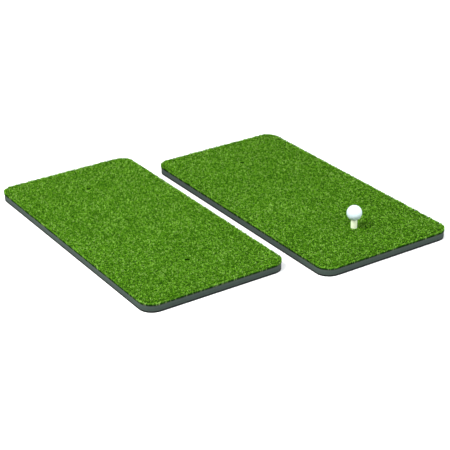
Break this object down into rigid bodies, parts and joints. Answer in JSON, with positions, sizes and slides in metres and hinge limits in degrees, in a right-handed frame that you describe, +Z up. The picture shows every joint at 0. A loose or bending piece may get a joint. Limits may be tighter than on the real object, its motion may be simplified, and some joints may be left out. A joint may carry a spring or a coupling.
{
  "type": "golf hitting mat",
  "caption": "Pair of layered turf mats for practice golf shots, with tee holes at both ends, a bending rubber tee and a ball on it.",
  "frame": {"origin": "on the floor, midway between the two mats, at the middle of the whole set's bounding box", "axes": "+X from the left mat to the right mat, +Y along the mats' length, away from the end with the ball, +Z up"},
  "size_m": [0.907, 0.961, 0.0948],
  "materials": {
    "turf": "crimped nylon yarn, matt",
    "backing": "plain woven polypropylene, very dark green",
    "latex": "dull poured latex, nearly black",
    "foam": "closed-cell foam with a skived, finely pitted cut edge",
    "sole_rubber": "matt dense rubber with a fine non-slip texture underneath",
    "tee_rubber": "cream moulded rubber, satin",
    "ball_cover": "white painted and lacquered cover, dimpled",
    "ball_core": "dense moulded rubber"
  },
  "bodies": {
    "left_mat": {"left_rubber_sole": "sole_rubber", "left_foam_core": "foam", "left_latex_coat": "latex", "left_woven_backing": "backing", "left_turf_pile": "turf"},
    "right_mat": {"right_rubber_sole": "sole_rubber", "right_foam_core": "foam", "right_latex_coat": "latex", "right_woven_backing": "backing", "right_turf_pile": "turf", "tee_base": "tee_rubber"},
    "tee": {"tee_stem": "tee_rubber"},
    "ball": {"ball_cover": "ball_cover", "ball_core": "ball_core"}
  },
  "joints": [
    {"name": "mat_spacing", "type": "slide", "parent": "left_mat", "child": "right_mat", "axis": [1, 0, 0], "range_m": [-0.046, 0.2]},
    {"name": "tee_bend", "type": "hinge", "parent": "right_mat", "child": "tee", "pos_m": [0.2385, -0.3255, 0.035], "axis": [1, 0, 0], "range_deg": [-50, 50], "stiffness_Nm_per_rad": 0.4},
    {"name": "ball_lift", "type": "slide", "parent": "tee", "child": "ball", "axis": [0, 0, 1], "range_m": [0, 0.06]}
  ]
}
